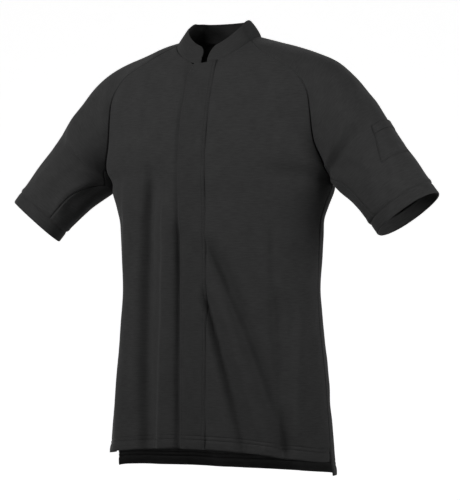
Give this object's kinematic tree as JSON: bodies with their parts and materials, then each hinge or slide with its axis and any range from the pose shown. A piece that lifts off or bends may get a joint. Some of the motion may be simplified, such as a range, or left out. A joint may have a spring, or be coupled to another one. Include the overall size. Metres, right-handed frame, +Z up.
{
  "type": "chef jacket",
  "caption": "Short-sleeved chef jacket in its worn hollow shape, with a fly band over the fastening, a low standing collar, raglan sleeves with cuffs and a pen pocket on the left sleeve.",
  "frame": {"origin": "middle of the neck opening, level with the collar seam at the sides of the neck, where the worn garment is held", "axes": "+Z up, the front of the jacket towards -Y, its own left side towards +X"},
  "size_m": [0.8132, 0.2371, 0.793],
  "materials": {
    "knit_cloth": "charcoal fine knit, matt",
    "doubled_cloth": "charcoal fine knit in two layers, stitched, matt"
  },
  "bodies": {
    "root": {"front_left": "knit_cloth", "front_right": "knit_cloth", "fly_band": "doubled_cloth", "back": "knit_cloth", "collar": "doubled_cloth", "sleeve_left": "knit_cloth", "underarm_left": "knit_cloth", "cuff_left": "doubled_cloth", "sleeve_right": "knit_cloth", "underarm_right": "knit_cloth", "cuff_right": "doubled_cloth", "pocket_band": "doubled_cloth", "sleeve_pocket": "knit_cloth"}
  },
  "joints": []
}
